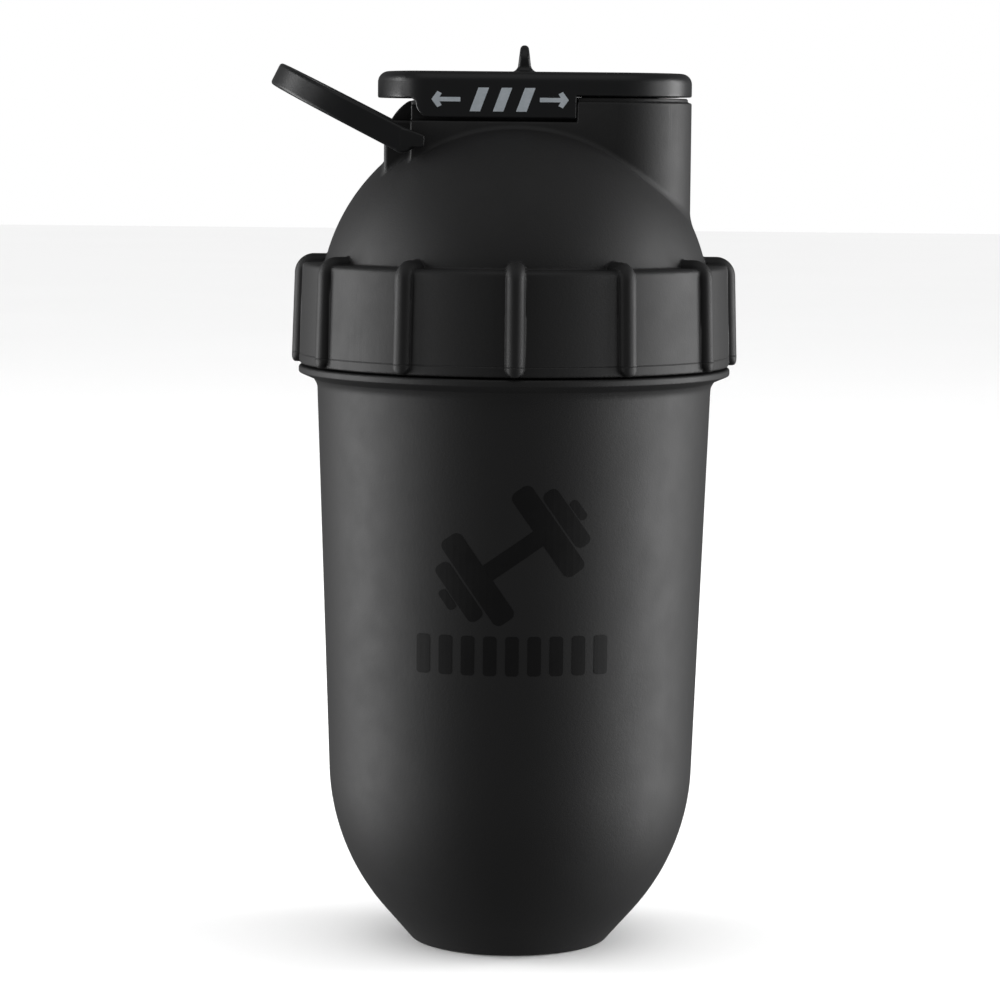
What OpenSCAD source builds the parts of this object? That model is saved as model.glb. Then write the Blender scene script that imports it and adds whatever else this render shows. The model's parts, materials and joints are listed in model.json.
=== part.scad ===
// Capsule-shaped shaker bottle: cup, screw cap with a raised spout, slide cover and carry loop.
// Millimetres. +Z is up, the base stands on z = 0 and the cup's axis is the Z axis. The front is -Y.

/* [Cup] */
// Radius of the flat base
base_r = 23.2; // [22:0.1:24]
// Largest outer radius of the round bowl
bowl_max_r = 42.8; // [42.4:0.1:43.2]
// Height of the bowl's widest part above the base
bowl_z = 42.2; // [41.2:0.1:43.2]
// Radius of the curve that the bowl's side follows
bowl_r = 52.6; // [51:0.2:54]
// Outer radius of the wall just under the flange
wall_top_r = 46.05; // [45.6:0.05:46.2]
// Wall thickness of the cup
cup_wall = 1.8; // [1.4:0.1:2.2]
// Thickness of the cup's floor
floor_t = 2.2; // [1.8:0.1:3]
// Height of the flange's top face
flange_z = 135.5; // [135:0.1:135.6]
// Radius of the flange
flange_r = 50.4; // [49.5:0.1:51]
// Height of the cup's rim, inside the cap
rim_z = 155; // [154:0.1:155]

/* [Screw thread] */
// Number of thread starts
starts = 3; // [2:1:3]
// Rise of one start in a full turn
lead = 12; // [12:0.5:14]

/* [Screw cap] */
// Height of the grip collar's lower edge
collar_z = 135.95; // [135.9:0.05:136.2]
// Height of the collar's shoulder
shoulder_z = 159.5; // [159.4:0.1:160.2]
// Outer radius of the collar at its lower edge
collar_low_r = 50.15; // [50:0.05:50.6]
// Outer radius of the collar at its shoulder
collar_top_r = 49.4; // [49.2:0.1:50]
// Number of grip ribs
rib_count = 12; // [6:1:16]
// Width of a grip rib
rib_w = 4.2; // [3:0.1:6]
// How far a rib stands out of the collar
rib_proud = 2; // [1:0.1:2.5]
// Outer radius of the dome
dome_r = 45.6; // [45.2:0.1:45.9]
// Height of the dome's centre
dome_z = 149.1; // [148.6:0.1:149.6]

/* [Spout housing] */
// Left end of the housing
housing_left = -30.4; // [-31:0.1:-30]
// Right end of the housing
housing_right = 40.7; // [40:0.1:41.2]
// Half of the housing's depth
housing_half = 18.2; // [17.8:0.1:18.4]
// Height of the housing's wall
housing_z = 197; // [196.8:0.1:197.2]
// Height of the deck that the cover slides on
deck_z = 198; // [197.8:0.1:198.1]

/* [Slide cover] */
// Left end of the cover's nose
cover_left = -32.3; // [-32.8:0.1:-31.7]
// Height of the cover's top
cover_z = 203.75; // [203.4:0.05:204.2]
// Lower edge of the cover's skirt
skirt_z = 193.1; // [192.9:0.1:193.6]
// Right end of the skirt
skirt_right = 13.6; // [12:0.1:14.3]
// Height of the thumb fin's tip
fin_z = 209.9; // [207:0.1:213]

/* [Carry loop] */
// Angle of the loop above the horizontal as stored
loop_angle = 26.9; // [0:0.1:40]
// Length of the loop from its pivot
loop_len = 33.7; // [33.5:0.1:35]
// Thickness of the loop's band
band_t = 2.8; // [2.4:0.1:3]
// Radius of the loop's pivot pins
pivot_r = 1.4; // [1.2:0.05:1.45]

/* [Hidden] */
$fn = 96;
eps = 0.5;                       // overshoot of a cut past the face that it opens
bevel = 0.5;                     // small bevel on the edges of the cup's flange and rim

matte_black = [0.12, 0.12, 0.125];
satin_black = [0.08, 0.08, 0.09];
seal_grey = [0.35, 0.35, 0.36];
print_grey = [0.75, 0.79, 0.83];
tone_black = [0.05, 0.05, 0.055];

// Neck and thread
neck_r = 46.3;                   // outside of the neck between the ridges
neck_bore_r = 44.3;              // inside of the neck
crest_r = 47.5;                  // crest of the cup's ridges
cap_bore_r = 47.9;               // inside of the collar between its ridges
cap_crest_r = 46.8;              // crest of the cap's ridges
ridge_root = 1.9;                // axial width of a ridge at its root
ridge_tip = 0.9;                 // axial width of a ridge at its crest
cup_ridge_z = 139.2;             // centre of a cup ridge where it begins
cap_ridge_z = cup_ridge_z - lead / starts / 2;
cup_ridge_sweep = 200;           // degrees round the neck
cap_ridge_sweep = 130;           // degrees round the collar

// Cup
bowl_c = [bowl_max_r - bowl_r, bowl_z];           // centre of the bowl's curve
wall_top_z = 131;                // where the wall turns out into the flange
flare_c = [1.4, 0.2];            // centre of the hollow under the flange, from the wall's top
flare_r = 1.35;
flange_edge_z = 133.95;          // lower corner of the flange's edge
neck_root_z = 131;               // where the neck's bore runs into the wall

// Screw cap
cap_wall = 2;
cap_top_inside_z = 156.8;        // underside of the shoulder, over the rim seal
plug_r = 43.95;                  // outside of the plug lip that enters the neck
plug_bore_r = 42.5;
plug_z = 149.5;                  // lower edge of the plug lip
shoulder_bevel = 1;
rib_top_z = shoulder_z + 1.9;
rib_low_z = collar_z + 0.1;
rib_corner_r = 4.4;
rib_toe = 0.8;                   // bevel at a rib's lower end
rib_sunk = 0.9;                  // how deep a rib's root is sunk in the collar
rib_inner_r = 43;                // a rib's inner end, buried in the dome's shell

// Spout housing
housing_end_x = housing_right - housing_half;     // centre of the round right end
housing_low_z = dome_z + 10;     // the walls start here, inside the dome's shell
cavity_low_z = dome_z + 16;      // and their hollow starts here, inside the dome's own
recess_x = -24.2;                // the left section is narrower than the rest from here on
recess_half = 14.5;
recess_corner_r = 1;
deck_inset = 0.9;
channel_z = 192.4;               // floor of the channel that the skirt runs in
channel_right = skirt_right + 0.2;
rail_z = 195.9;                  // underside of the rail
rail_half = 16.3;
web_half = 14;
web_end_c = [-18.5, 186.8];      // the web's left end is rounded about this line
web_end_r = 12;
web_end_half = 5;                // and is narrower
cavity_step_z = 190.4;           // the cavity narrows here to pass inside the web
cavity_top_z = deck_z - 2.2;
cavity_half = 12.4;              // above the step
cavity_left = -22;               // above the step
mouth_left = 26;
mouth_inset = 3.6;               // from the housing's outline to the mouth's edge

// Pivot of the carry loop
pivot = [-26, 187.9];            // X and Z
socket_r = pivot_r + 0.06;
socket_half = 12;                // bottom of the blind socket, from the middle plane
boss_half = 10.8;
boss_r = 2.6;
pin_half = 12.2;                 // inner end of a pin

// Slide cover
nose_r = 24;                     // plan radius of the nose's end
nose_corner_r = 8.5;             // and of the corners that join it to the straight sides
nose_c = [cover_left + nose_r, 0];
nose_a = 180 - asin((housing_half - nose_corner_r) / (nose_r - nose_corner_r));
nose_corner_c = nose_c + (nose_r - nose_corner_r) * [cos(nose_a), sin(nose_a)];
cover_wall = 1.6;
cover_gap = 0.35;                // from the inside of the cover's wall to the rails' corners
cover_roof = 2.35;
cover_under_z = 198.3;           // lower edge of the cover's side wall at the right
nose_under_z = 197.6;
nose_bevel = 1;                  // from the nose's underside down into the skirt
skirt_left = -23.1;
skirt_corner_r = 3.4;
hook_half = 15.1;                // inner edge of the hooks under the rails
hook_t = housing_half - hook_half - cover_wall / 2;
hook_top_z = 195.6;
hook_left = -18;
fin_x = 1.7;
fin_tip_t = 1.7;
fin_root_t = 3.3;
fin_half = 10;
fin_end_r = 4;
edge_r = 2.4;                    // bevel along the cover's top edge

// Seals
rim_seal_r = [44.05, 47];
rim_seal_z = [155.1, 156.7];
pad_z = [deck_z + 0.2, cover_z - cover_roof];
pad_inset = 2.4;
pad_left = 15;

// Carry loop
arm_half = 21.3;                 // outer face of the arms
eye_r = 2.9;
near_band_h = 5.6;               // height of the band at the pivot
far_band_h = 5.4;                // and at its far end
tab_right = 5.1;                 // reach of the thumb tab beyond the pivot
tab_z = [-1.6, 1.3];             // its lower and upper edge at its end
tab_t = 1.6;                     // it is thinner than the arm, on the outer side
tab_corner_r = 0.8;

// Prints
ink_t = 0.12;
ink_gap = 0.01;
cover_mark_z = 197.3;
arrow_len = 6.6;
arrow_head = 2.7;
arrow_stroke = 1;
arrow_x = [-16.2, 8.5];
slash_x = [-8.6, -3.3, 2];
slash_h = 5.4;
slash_w = 2.4;
slash_lean = 1;
emblem_z = 95.8;
emblem_angle = 35;
dumbbell_bar = [20, 4];
dumbbell_plates = [[5.4, 23], [3.8, 15], [2.4, 5]];
dumbbell_x = [9.6, 14.7, 17.8];  // middles of the plates, from the middle of the bar
dumbbell_corner_r = [1.6, 1.4, 0.8];
bar_count = 9;
bar_pitch = 5;
bar_w = 3;
bar_corner_r = 0.8;
label_z = [68.5, 77.5];

// Points of an arc from a0 to a1 degrees about c
function arc(c, r, a0, a1, n = 16) =
    [for (i = [0:n]) let (a = a0 + (a1 - a0) * i / n) c + r * [cos(a), sin(a)]];

// Angle on a circle of radius r about the origin where the line from p touches it
function touch_above(r, p) = atan2(p.y, p.x) - acos(r / norm(p));
function touch_below(r, p) = atan2(p.y, p.x) + acos(r / norm(p));

// Angles, on the bowl's circle, where the wall and the foot's cone run into it
wall_a = touch_above(bowl_r, [wall_top_r, wall_top_z] - bowl_c);
foot_a = touch_below(bowl_r, [base_r, 0] - bowl_c);
bowl_in_r = bowl_r - cup_wall;
wall_in_a = touch_above(bowl_in_r, [neck_bore_r, neck_root_z] - bowl_c);
floor_a = asin((floor_t - bowl_z) / bowl_in_r);

// One ridge of a screw thread, swept up a helix, thin at both ends.
// root is the radius it grows from, tip is the radius of its crest.
module ridge(root, tip, z, sweep, steps) {
    function lift(i) = min(1, 0.15 + 0.3 * min(i, steps - i));
    section = [[0, -ridge_root / 2], [1, -ridge_tip / 2], [1, ridge_tip / 2], [0, ridge_root / 2]];
    corners = len(section);
    points = [for (i = [0:steps], s = section)
        let (a = sweep * i / steps, r = root + (tip - root) * s.x * lift(i))
        [r * cos(a), r * sin(a), z + lead * a / 360 + s.y]];
    turn = tip > root ? 1 : -1;
    function side(i, k) = let (n = (k + 1) % corners, a = i * corners)
        turn > 0 ? [a + k, a + n, a + corners + n, a + corners + k]
                 : [a + k, a + corners + k, a + corners + n, a + n];
    first = [for (k = [0:corners - 1]) turn > 0 ? corners - 1 - k : k];
    last = [for (k = [0:corners - 1]) steps * corners + (turn > 0 ? k : corners - 1 - k)];
    polyhedron(points, concat([first], [for (i = [0:steps - 1], k = [0:corners - 1]) side(i, k)], [last]));
}

module thread(root, tip, z, sweep) {
    for (s = [0:starts - 1]) rotate(s * 360 / starts) ridge(root, tip, z, sweep, round(sweep / 7.5));
}

// The cup's section, from the base up the outside and down the inside
module cup_section() {
    polygon(concat(
        [[0, 0], [base_r, 0]],
        arc(bowl_c, bowl_r, foot_a, wall_a, 20),
        [[wall_top_r, wall_top_z]],
        arc([wall_top_r, wall_top_z] + flare_c, flare_r, 175, 105, 5),
        [[flange_r, flange_edge_z], [flange_r, flange_z - bevel], [flange_r - bevel, flange_z],
         [neck_r, flange_z], [neck_r, rim_z - bevel], [neck_r - bevel, rim_z],
         [neck_bore_r + bevel, rim_z], [neck_bore_r, rim_z - bevel], [neck_bore_r, neck_root_z]],
        arc(bowl_c, bowl_in_r, wall_in_a, floor_a, 20),
        [[0, floor_t]]));
}

module cup() {
    color(matte_black) {
        rotate_extrude() cup_section();
        thread(neck_r - 0.4, crest_r, cup_ridge_z, cup_ridge_sweep);
    }
}

// Outline of the housing, seen from above and drawn in by inset
module housing_outline(inset = 0) {
    h = housing_half - inset;
    translate([recess_x + inset, -h]) square([housing_end_x - recess_x - inset, 2 * h]);
    translate([housing_end_x, 0]) circle(h);
}

// The narrower left section that the carry loop's pins turn in
module recess_outline(inset = 0) {
    h = recess_half - inset;
    r = recess_corner_r;
    left = housing_left + inset;
    right = recess_x + 2 * cap_wall;
    polygon(concat([[right, h]], arc([left + r, h - r], r, 90, 180, 6),
                   arc([left + r, r - h], r, 180, 270, 6), [[right, -h]]));
}

// Dome and collar as one solid of revolution
module cap_outside() {
    edge = sqrt(dome_r ^ 2 - (shoulder_z - dome_z) ^ 2);
    rotate_extrude()
        polygon(concat([[0, collar_z], [collar_low_r, collar_z], [collar_top_r, shoulder_z - shoulder_bevel],
                        [collar_top_r - shoulder_bevel, shoulder_z], [edge, shoulder_z]],
                       arc([0, dome_z], dome_r, asin((shoulder_z - dome_z) / dome_r), 90, 20)));
}

// The space under the collar and the dome, with the plug lip left standing
module cap_inside() {
    r = dome_r - cap_wall;
    rotate_extrude()
        polygon(concat([[0, collar_z - eps], [cap_bore_r, collar_z - eps], [cap_bore_r, cap_top_inside_z],
                        [plug_r, cap_top_inside_z], [plug_r, plug_z], [plug_bore_r, plug_z]],
                       arc([0, dome_z], r, acos(plug_bore_r / r), 90, 20)));
}

// One grip rib: up the collar, round its corner and over the shoulder to the dome
module rib() {
    low_r = collar_low_r + rib_proud;
    top_r = collar_top_r + rib_proud;
    c = rib_corner_r;
    bed_z = shoulder_z - 1.5 * shoulder_bevel;
    rotate([90, 0, 0])
        linear_extrude(rib_w, center = true)
            polygon(concat([[rib_inner_r, bed_z], [collar_top_r - rib_sunk, bed_z],
                            [collar_low_r - rib_sunk, rib_low_z],
                            [low_r - rib_toe, rib_low_z], [low_r, rib_low_z + rib_toe]],
                           arc([top_r - c, rib_top_z - c], c, 0, 90, 8),
                           [[rib_inner_r, rib_top_z]]));
}

module housing_outside() {
    translate([0, 0, housing_low_z]) {
        linear_extrude(housing_z - housing_low_z) {
            housing_outline();
            recess_outline();
        }
        linear_extrude(deck_z - housing_low_z) housing_outline(deck_inset);
    }
}

// The hollow of the housing, open below into the dome. It narrows beside the channels.
module housing_inside() {
    rise = cavity_top_z - cavity_step_z + eps;
    difference() {
        translate([0, 0, cavity_low_z]) linear_extrude(cavity_top_z - cavity_low_z) {
            housing_outline(cap_wall);
            recess_outline(cap_wall);
        }
        for (s = [0, 1]) mirror([0, s, 0])
            translate([housing_left, cavity_half, cavity_step_z])
                cube([channel_right + cap_wall - housing_left, housing_half, rise]);
        translate([housing_left, -housing_half, cavity_step_z])
            cube([cavity_left - housing_left, 2 * housing_half, rise]);
        for (s = [0, 180]) translate([pivot.x, 0, pivot.y]) rotate([90, 0, s])
            translate([0, 0, boss_half]) cylinder(h = housing_half - boss_half, r = boss_r);
    }
}

// The channels that the cover's skirts and hooks run in, open to the left
module channels() {
    left = housing_left - eps;
    half = housing_half + eps;
    h = deck_z - channel_z + eps;
    for (s = [0, 1]) mirror([0, s, 0]) translate([left, 0, channel_z]) {
        translate([0, rail_half, 0]) cube([channel_right - left, half - rail_half, h]);
        translate([0, web_half, 0]) cube([channel_right - left, half - web_half, rail_z - channel_z]);
        translate([0, web_end_half, 0]) cube([recess_x - left, half - web_end_half, h]);
    }
    // The rails' left corners stay clear of the round corners of the cover's wall
    translate([0, 0, channel_z]) linear_extrude(h) difference() {
        translate([left, -half]) square([nose_corner_c.x - left, 2 * half]);
        cover_outline(cover_wall + cover_gap);
    }
    // The web's left end is rounded, so the cover can be pushed on
    rotate([90, 0, 0]) linear_extrude(2 * half, center = true) difference() {
        translate([left, channel_z]) square([web_end_c.x - left, h]);
        translate(web_end_c) circle(web_end_r);
    }
}

module mouth() {
    translate([0, 0, cavity_top_z - eps])
        linear_extrude(deck_z - cavity_top_z + 2 * eps) intersection() {
            housing_outline(mouth_inset);
            translate([mouth_left, -housing_half]) square(2 * housing_half);
        }
}

module sockets() {
    for (s = [0, 180]) translate([pivot.x, 0, pivot.y]) rotate([90, 0, s])
        translate([0, 0, socket_half]) cylinder(h = housing_half - socket_half, r = socket_r);
}

module screw_cap() {
    color(matte_black) {
        difference() {
            union() {
                cap_outside();
                housing_outside();
                for (i = [0:rib_count - 1]) rotate(i * 360 / rib_count - 90) rib();
            }
            cap_inside();
            housing_inside();
            channels();
            mouth();
            sockets();
        }
        thread(cap_bore_r + 0.4, cap_crest_r, cap_ridge_z, cap_ridge_sweep);
    }
}

module rim_seal() {
    color(seal_grey)
        rotate_extrude() translate([rim_seal_r[0], rim_seal_z[0]])
            square([rim_seal_r[1] - rim_seal_r[0], rim_seal_z[1] - rim_seal_z[0]]);
}

// Outline of the cover, seen from above: a round right end, and a bowed nose with round corners
module cover_outline(inset = 0) {
    r = nose_corner_r - inset;
    step = 6;
    polygon(concat(arc([housing_end_x, 0], housing_half - inset, -90, 90, 24),
                   arc(nose_corner_c, r, 90, nose_a - step, 6),
                   arc(nose_c, nose_r - inset, nose_a, 360 - nose_a, 14),
                   arc([nose_corner_c.x, -nose_corner_c.y], r, 360 - nose_a + step, 270, 6)));
}

// Side view of what the cover's walls reach down to
module cover_side() {
    c = skirt_corner_r;
    left = cover_left - eps;
    right = housing_right + eps;
    polygon(concat([[left, cover_z + eps], [left, nose_under_z],
                    [skirt_left - nose_bevel, nose_under_z], [skirt_left, nose_under_z - nose_bevel]],
                   arc([skirt_left + c, skirt_z + c], c, 180, 270, 8),
                   [[skirt_right, skirt_z], [skirt_right, cover_under_z], [right, cover_under_z],
                    [right, cover_z + eps]]));
}

// Roof in three courses, so that the top edge is eased
module cover_block() {
    low = skirt_z - eps;
    translate([0, 0, low]) linear_extrude(cover_z - edge_r - low) cover_outline();
    translate([0, 0, low]) linear_extrude(cover_z - edge_r * 0.35 - low) cover_outline(edge_r * 0.25);
    translate([0, 0, low]) linear_extrude(cover_z - low) cover_outline(edge_r * 0.75);
}

module fin() {
    z = cover_z - cover_roof / 2;
    tip_r = fin_tip_t / 2;
    intersection() {
        rotate([90, 0, 0]) linear_extrude(2 * fin_half, center = true)
            polygon(concat([[fin_x - fin_root_t / 2, z], [fin_x + fin_root_t / 2, z]],
                           arc([fin_x, fin_z - tip_r], tip_r, 0, 180, 8)));
        translate([fin_x, 0, 0]) rotate([90, 0, 90]) linear_extrude(2 * fin_root_t, center = true)
            polygon(concat([[-fin_half, z], [fin_half, z]],
                           arc([fin_half - fin_end_r, fin_z - fin_end_r], fin_end_r, 0, 90, 8),
                           arc([fin_end_r - fin_half, fin_z - fin_end_r], fin_end_r, 90, 180, 8)));
    }
}

module slide_cover() {
    color(satin_black) {
        intersection() {
            difference() {
                cover_block();
                translate([0, 0, skirt_z - 2 * eps])
                    linear_extrude(cover_z - cover_roof - skirt_z + 2 * eps) cover_outline(cover_wall);
            }
            rotate([90, 0, 0]) linear_extrude(3 * housing_half, center = true) cover_side();
        }
        fin();
        // Hooks that hold the cover down on the rails
        for (s = [0, 1]) mirror([0, s, 0])
            translate([hook_left, hook_half, skirt_z])
                cube([skirt_right - hook_left, hook_t, hook_top_z - skirt_z]);
    }
}

// Pad in the cover's roof that lies over the mouth
module mouth_seal() {
    color(seal_grey)
        translate([0, 0, pad_z[0]]) linear_extrude(pad_z[1] - pad_z[0]) intersection() {
            housing_outline(pad_inset);
            translate([pad_left, -housing_half]) square(2 * housing_half);
        }
}

// The loop lies flat here, with its arms along -X from the pivot at the origin
module loop_plan() {
    c = [arm_half - loop_len, 0];
    right = 2 * eye_r;
    inner = arm_half - band_t;
    difference() {
        polygon(concat([[right, arm_half]], arc(c, arm_half, 90, 270, 32), [[right, -arm_half]]));
        polygon(concat([[right + eps, inner]], arc(c, inner, 90, 270, 32), [[right + eps, -inner]]));
    }
}

// Side view of the loop as stored: tapered arm and round eye
module loop_side() {
    left = -loop_len - eps;
    rotate(-loop_angle)
        polygon([[0, -near_band_h / 2], [0, near_band_h / 2],
                 [left, far_band_h / 2], [left, -far_band_h / 2]]);
    circle(eye_r);
}

// Side view of the thumb tab, whose upper edge carries on from the arm's
module tab_side() {
    r = tab_corner_r;
    polygon(concat([[0, tab_z[0]]], arc([tab_right - r, tab_z[0] + r], r, 270, 360, 5),
                   arc([tab_right - r, tab_z[1] - r], r, 0, 70, 5),
                   [near_band_h / 2 * [sin(loop_angle), cos(loop_angle)], [0, 0]]));
}

module carry_loop() {
    color(satin_black) translate([pivot.x, 0, pivot.y]) {
        intersection() {
            rotate([0, loop_angle, 0]) linear_extrude(loop_len, center = true) loop_plan();
            rotate([90, 0, 0]) linear_extrude(2 * arm_half + 2, center = true) loop_side();
        }
        for (s = [0, 1]) mirror([0, s, 0])
            translate([0, arm_half, 0]) rotate([90, 0, 0]) linear_extrude(tab_t) tab_side();
        for (s = [0, 180]) rotate([90, 0, s])
            translate([0, 0, pin_half]) cylinder(h = arm_half - band_t / 2 - pin_half, r = pivot_r);
    }
}

// Arrow that points to +X, centred on the origin
module arrow() {
    h = arrow_head / 2;
    w = arrow_stroke / 2;
    tip = arrow_len / 2;
    polygon([[-tip, -w], [tip - h - w, -w], [tip - h - 2 * w, -h], [tip - h, -h - w], [tip, 0],
             [tip - h, h + w], [tip - h - 2 * w, h], [tip - h - w, w], [-tip, w]]);
}

// Two arrows and three slanted bars on the front skirt
module cover_print() {
    color(print_grey)
        translate([0, -housing_half - ink_gap, cover_mark_z]) rotate([90, 0, 0]) linear_extrude(ink_t) {
            translate([arrow_x[0], 0]) mirror([1, 0]) arrow();
            translate([arrow_x[1], 0]) arrow();
            for (x = slash_x) translate([x, 0])
                polygon([[-slash_w / 2 - slash_lean, -slash_h / 2],
                         [slash_w / 2 - slash_lean, -slash_h / 2],
                         [slash_w / 2 + slash_lean, slash_h / 2],
                         [-slash_w / 2 + slash_lean, slash_h / 2]]);
        }
}

// A film of ink on the front of the cup's wall, in the shape of the child
module cup_ink() {
    low_r = bowl_c.x + bowl_r * cos(wall_a);
    low_z = bowl_c.y + bowl_r * sin(wall_a);
    color(tone_black) intersection() {
        rotate([90, 0, 0]) linear_extrude(flange_r) children();
        translate([0, 0, low_z]) difference() {
            cylinder(h = wall_top_z - low_z, r1 = low_r + ink_gap + ink_t, r2 = wall_top_r + ink_gap + ink_t);
            cylinder(h = wall_top_z - low_z, r1 = low_r + ink_gap, r2 = wall_top_r + ink_gap);
        }
    }
}

// A plate with round corners, centred on the origin
module plate(size, r) {
    x = size.x / 2 - r;
    y = size.y / 2 - r;
    polygon(concat(arc([x, y], r, 0, 90, 5), arc([-x, y], r, 90, 180, 5),
                   arc([-x, -y], r, 180, 270, 5), arc([x, -y], r, 270, 360, 5)));
}

// A plain dumbbell
module cup_emblem() {
    cup_ink() translate([0, emblem_z]) rotate(emblem_angle) {
        plate(dumbbell_bar, bar_corner_r);
        for (s = [-1, 1], i = [0:len(dumbbell_x) - 1])
            translate([s * dumbbell_x[i], 0]) plate(dumbbell_plates[i], dumbbell_corner_r[i]);
    }
}

// A row of plain bars
module cup_label_bars() {
    cup_ink() for (i = [0:bar_count - 1])
        translate([(i - (bar_count - 1) / 2) * bar_pitch, (label_z[0] + label_z[1]) / 2])
            plate([bar_w, label_z[1] - label_z[0]], bar_corner_r);
}

cup();
screw_cap();
rim_seal();
slide_cover();
mouth_seal();
carry_loop();
cover_print();
cup_emblem();
cup_label_bars();
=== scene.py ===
import json
import math

import bmesh
import bpy
import numpy as np
from mathutils import Matrix, Vector


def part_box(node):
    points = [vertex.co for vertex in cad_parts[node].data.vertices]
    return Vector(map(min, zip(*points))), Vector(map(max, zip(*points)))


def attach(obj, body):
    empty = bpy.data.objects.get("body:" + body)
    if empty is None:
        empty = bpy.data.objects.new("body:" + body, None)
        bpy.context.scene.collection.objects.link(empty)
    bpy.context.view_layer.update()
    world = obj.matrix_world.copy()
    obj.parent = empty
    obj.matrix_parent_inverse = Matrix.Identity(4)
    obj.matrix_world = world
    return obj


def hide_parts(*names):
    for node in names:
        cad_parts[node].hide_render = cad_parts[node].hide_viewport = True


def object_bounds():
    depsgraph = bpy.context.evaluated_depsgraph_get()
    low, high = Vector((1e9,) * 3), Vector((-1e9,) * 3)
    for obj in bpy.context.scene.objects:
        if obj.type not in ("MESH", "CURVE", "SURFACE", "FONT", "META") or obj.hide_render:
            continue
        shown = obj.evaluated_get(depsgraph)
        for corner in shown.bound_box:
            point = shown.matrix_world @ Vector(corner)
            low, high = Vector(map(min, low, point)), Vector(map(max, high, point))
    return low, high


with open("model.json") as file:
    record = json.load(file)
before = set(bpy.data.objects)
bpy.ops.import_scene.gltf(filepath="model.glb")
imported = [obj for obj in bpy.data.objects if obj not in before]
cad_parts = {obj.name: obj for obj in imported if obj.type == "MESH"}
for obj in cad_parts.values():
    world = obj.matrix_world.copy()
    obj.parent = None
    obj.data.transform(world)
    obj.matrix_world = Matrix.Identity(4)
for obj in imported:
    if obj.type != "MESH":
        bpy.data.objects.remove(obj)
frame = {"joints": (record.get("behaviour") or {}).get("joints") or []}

CAD_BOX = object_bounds()
MM = 1000.0                       # shapes are worked out in millimetres


def box_mm(node):
    """Lowest and highest corners of a CAD node, in millimetres."""
    low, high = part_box(node)
    return np.array(low) * MM, np.array(high) * MM


CUP_HIGH = box_mm("cup")[1]
CAP_LOW, CAP_HIGH = box_mm("screw_cap")
COVER_LOW, COVER_HIGH = box_mm("slide_cover")
LOOP_LOW, LOOP_HIGH = box_mm("carry_loop")
SEAL_LOW, SEAL_HIGH = box_mm("rim_seal")
PAD_LOW, PAD_HIGH = box_mm("mouth_seal")
INK_LOW, INK_HIGH = box_mm("cover_print")
EMBLEM_LOW, EMBLEM_HIGH = box_mm("cup_emblem")
BARS_LOW, BARS_HIGH = box_mm("cup_label_bars")
JOINTS = {j["name"]: j for j in frame["joints"]}
PIVOT = np.array(JOINTS["loop_swing"]["pos_m"]) * MM

# ---------------------------------------------------------------- distances
# A shape is a function that gives, for points in millimetres, the distance to its surface,
# which is negative inside. Edges and corners are rounded where two distances are joined.

FAR = 1e3                         # further than any point is from a surface
TINY = 1e-9


def round_and(a, b, r):
    """Inside both, with the edge between them rounded to radius r."""
    a, b = a + r, b + r
    return np.minimum(np.maximum(a, b), 0) + np.hypot(np.maximum(a, 0), np.maximum(b, 0)) - r


def round_or(a, b, r):
    """Inside either, with a fillet of radius r between them."""
    return -round_and(-a, -b, r)


def cut(a, b, r):
    """a without b."""
    return round_and(a, -b, r)


def d_plan(x, y, left, right, half, corner):
    """Outline seen from above: round right end, and left corners of the given radius."""
    end = right - half
    qx, qy = left + corner - x, np.abs(y) - (half - corner)
    box = np.hypot(np.maximum(qx, 0), np.maximum(qy, 0)) + np.minimum(np.maximum(qx, qy), 0) - corner
    return np.where(x > end, np.hypot(x - end, y) - half, box)


def d_box(x, y, low, high):
    """Rectangle in any two coordinates."""
    qx = np.maximum(low[0] - x, x - high[0])
    qy = np.maximum(low[1] - y, y - high[1])
    return np.hypot(np.maximum(qx, 0), np.maximum(qy, 0)) + np.minimum(np.maximum(qx, qy), 0)


def d_polygon(x, y, points):
    """Closed outline with straight sides."""
    best = np.full(x.shape, FAR)
    sign = np.ones(x.shape)
    for (ax, ay), (bx, by) in zip(points, points[1:] + points[:1]):
        ex, ey, wx, wy = bx - ax, by - ay, x - ax, y - ay
        t = np.clip((wx * ex + wy * ey) / (ex * ex + ey * ey), 0, 1)
        best = np.minimum(best, np.hypot(wx - ex * t, wy - ey * t))
        crosses = ((ay > y) != (by > y)) & (wx < ex * wy / (ey or TINY))
        sign = np.where(crosses, -sign, sign)
    return best * sign


def arc(cx, cy, r, start, stop, steps):
    """Points along an arc, in degrees."""
    return [(cx + r * math.cos(math.radians(a)), cy + r * math.sin(math.radians(a)))
            for a in np.linspace(start, stop, steps + 1)]


# ---------------------------------------------------------------- surfaces from distances

BLOCK = 16                        # cells along each side of a block
NEAR_BLOCKS = 1.1                 # a surface in a block is no further than this from the block's middle
CHUNK = 64                        # blocks sampled together
MARGIN_CELLS = 2
FLATTEST = 0.2                    # least squared slope that a point is moved by
SETTLE_CELLS = 0.6
RESETTLE_CELLS = 0.3
NORMAL_STEP = 0.06


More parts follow.
